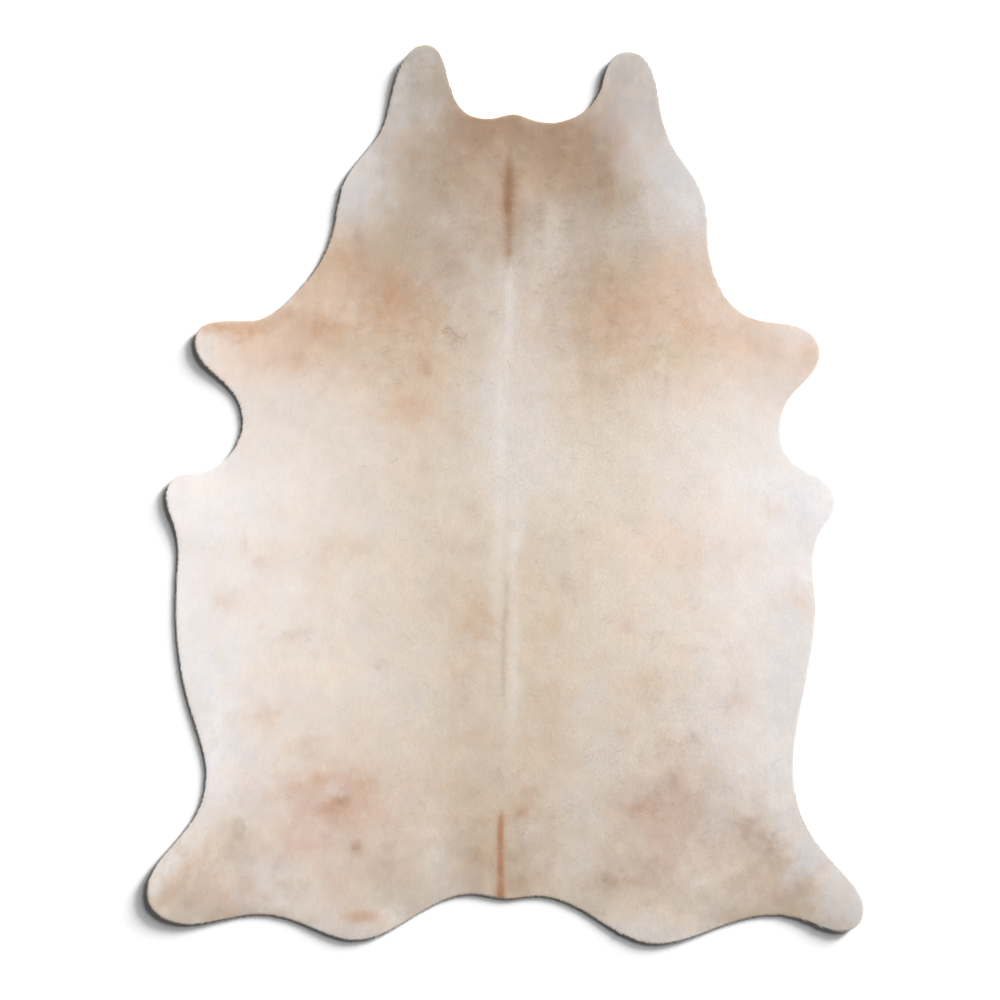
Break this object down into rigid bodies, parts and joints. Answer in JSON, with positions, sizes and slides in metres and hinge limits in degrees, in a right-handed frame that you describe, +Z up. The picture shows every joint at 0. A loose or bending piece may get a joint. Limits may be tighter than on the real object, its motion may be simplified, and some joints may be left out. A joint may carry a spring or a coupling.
{
  "type": "cowhide",
  "caption": "Whole cattle hide with its hair on, cut to the animal's outline with ear, leg and rump lobes; a thin sheet that lies flat, hair side up.",
  "frame": {"origin": "centre of the outline's bounding box, on the underside where it rests on the ground", "axes": "+Z up out of the hair side, +Y towards the ears, +X to the right as seen from above with the ears at the top"},
  "size_m": [1.754, 2.2, 0.0118],
  "materials": {
    "cowhide": "short cream cattle hair, soft satin sheen"
  },
  "bodies": {
    "root": {"hide": "cowhide"}
  },
  "joints": []
}
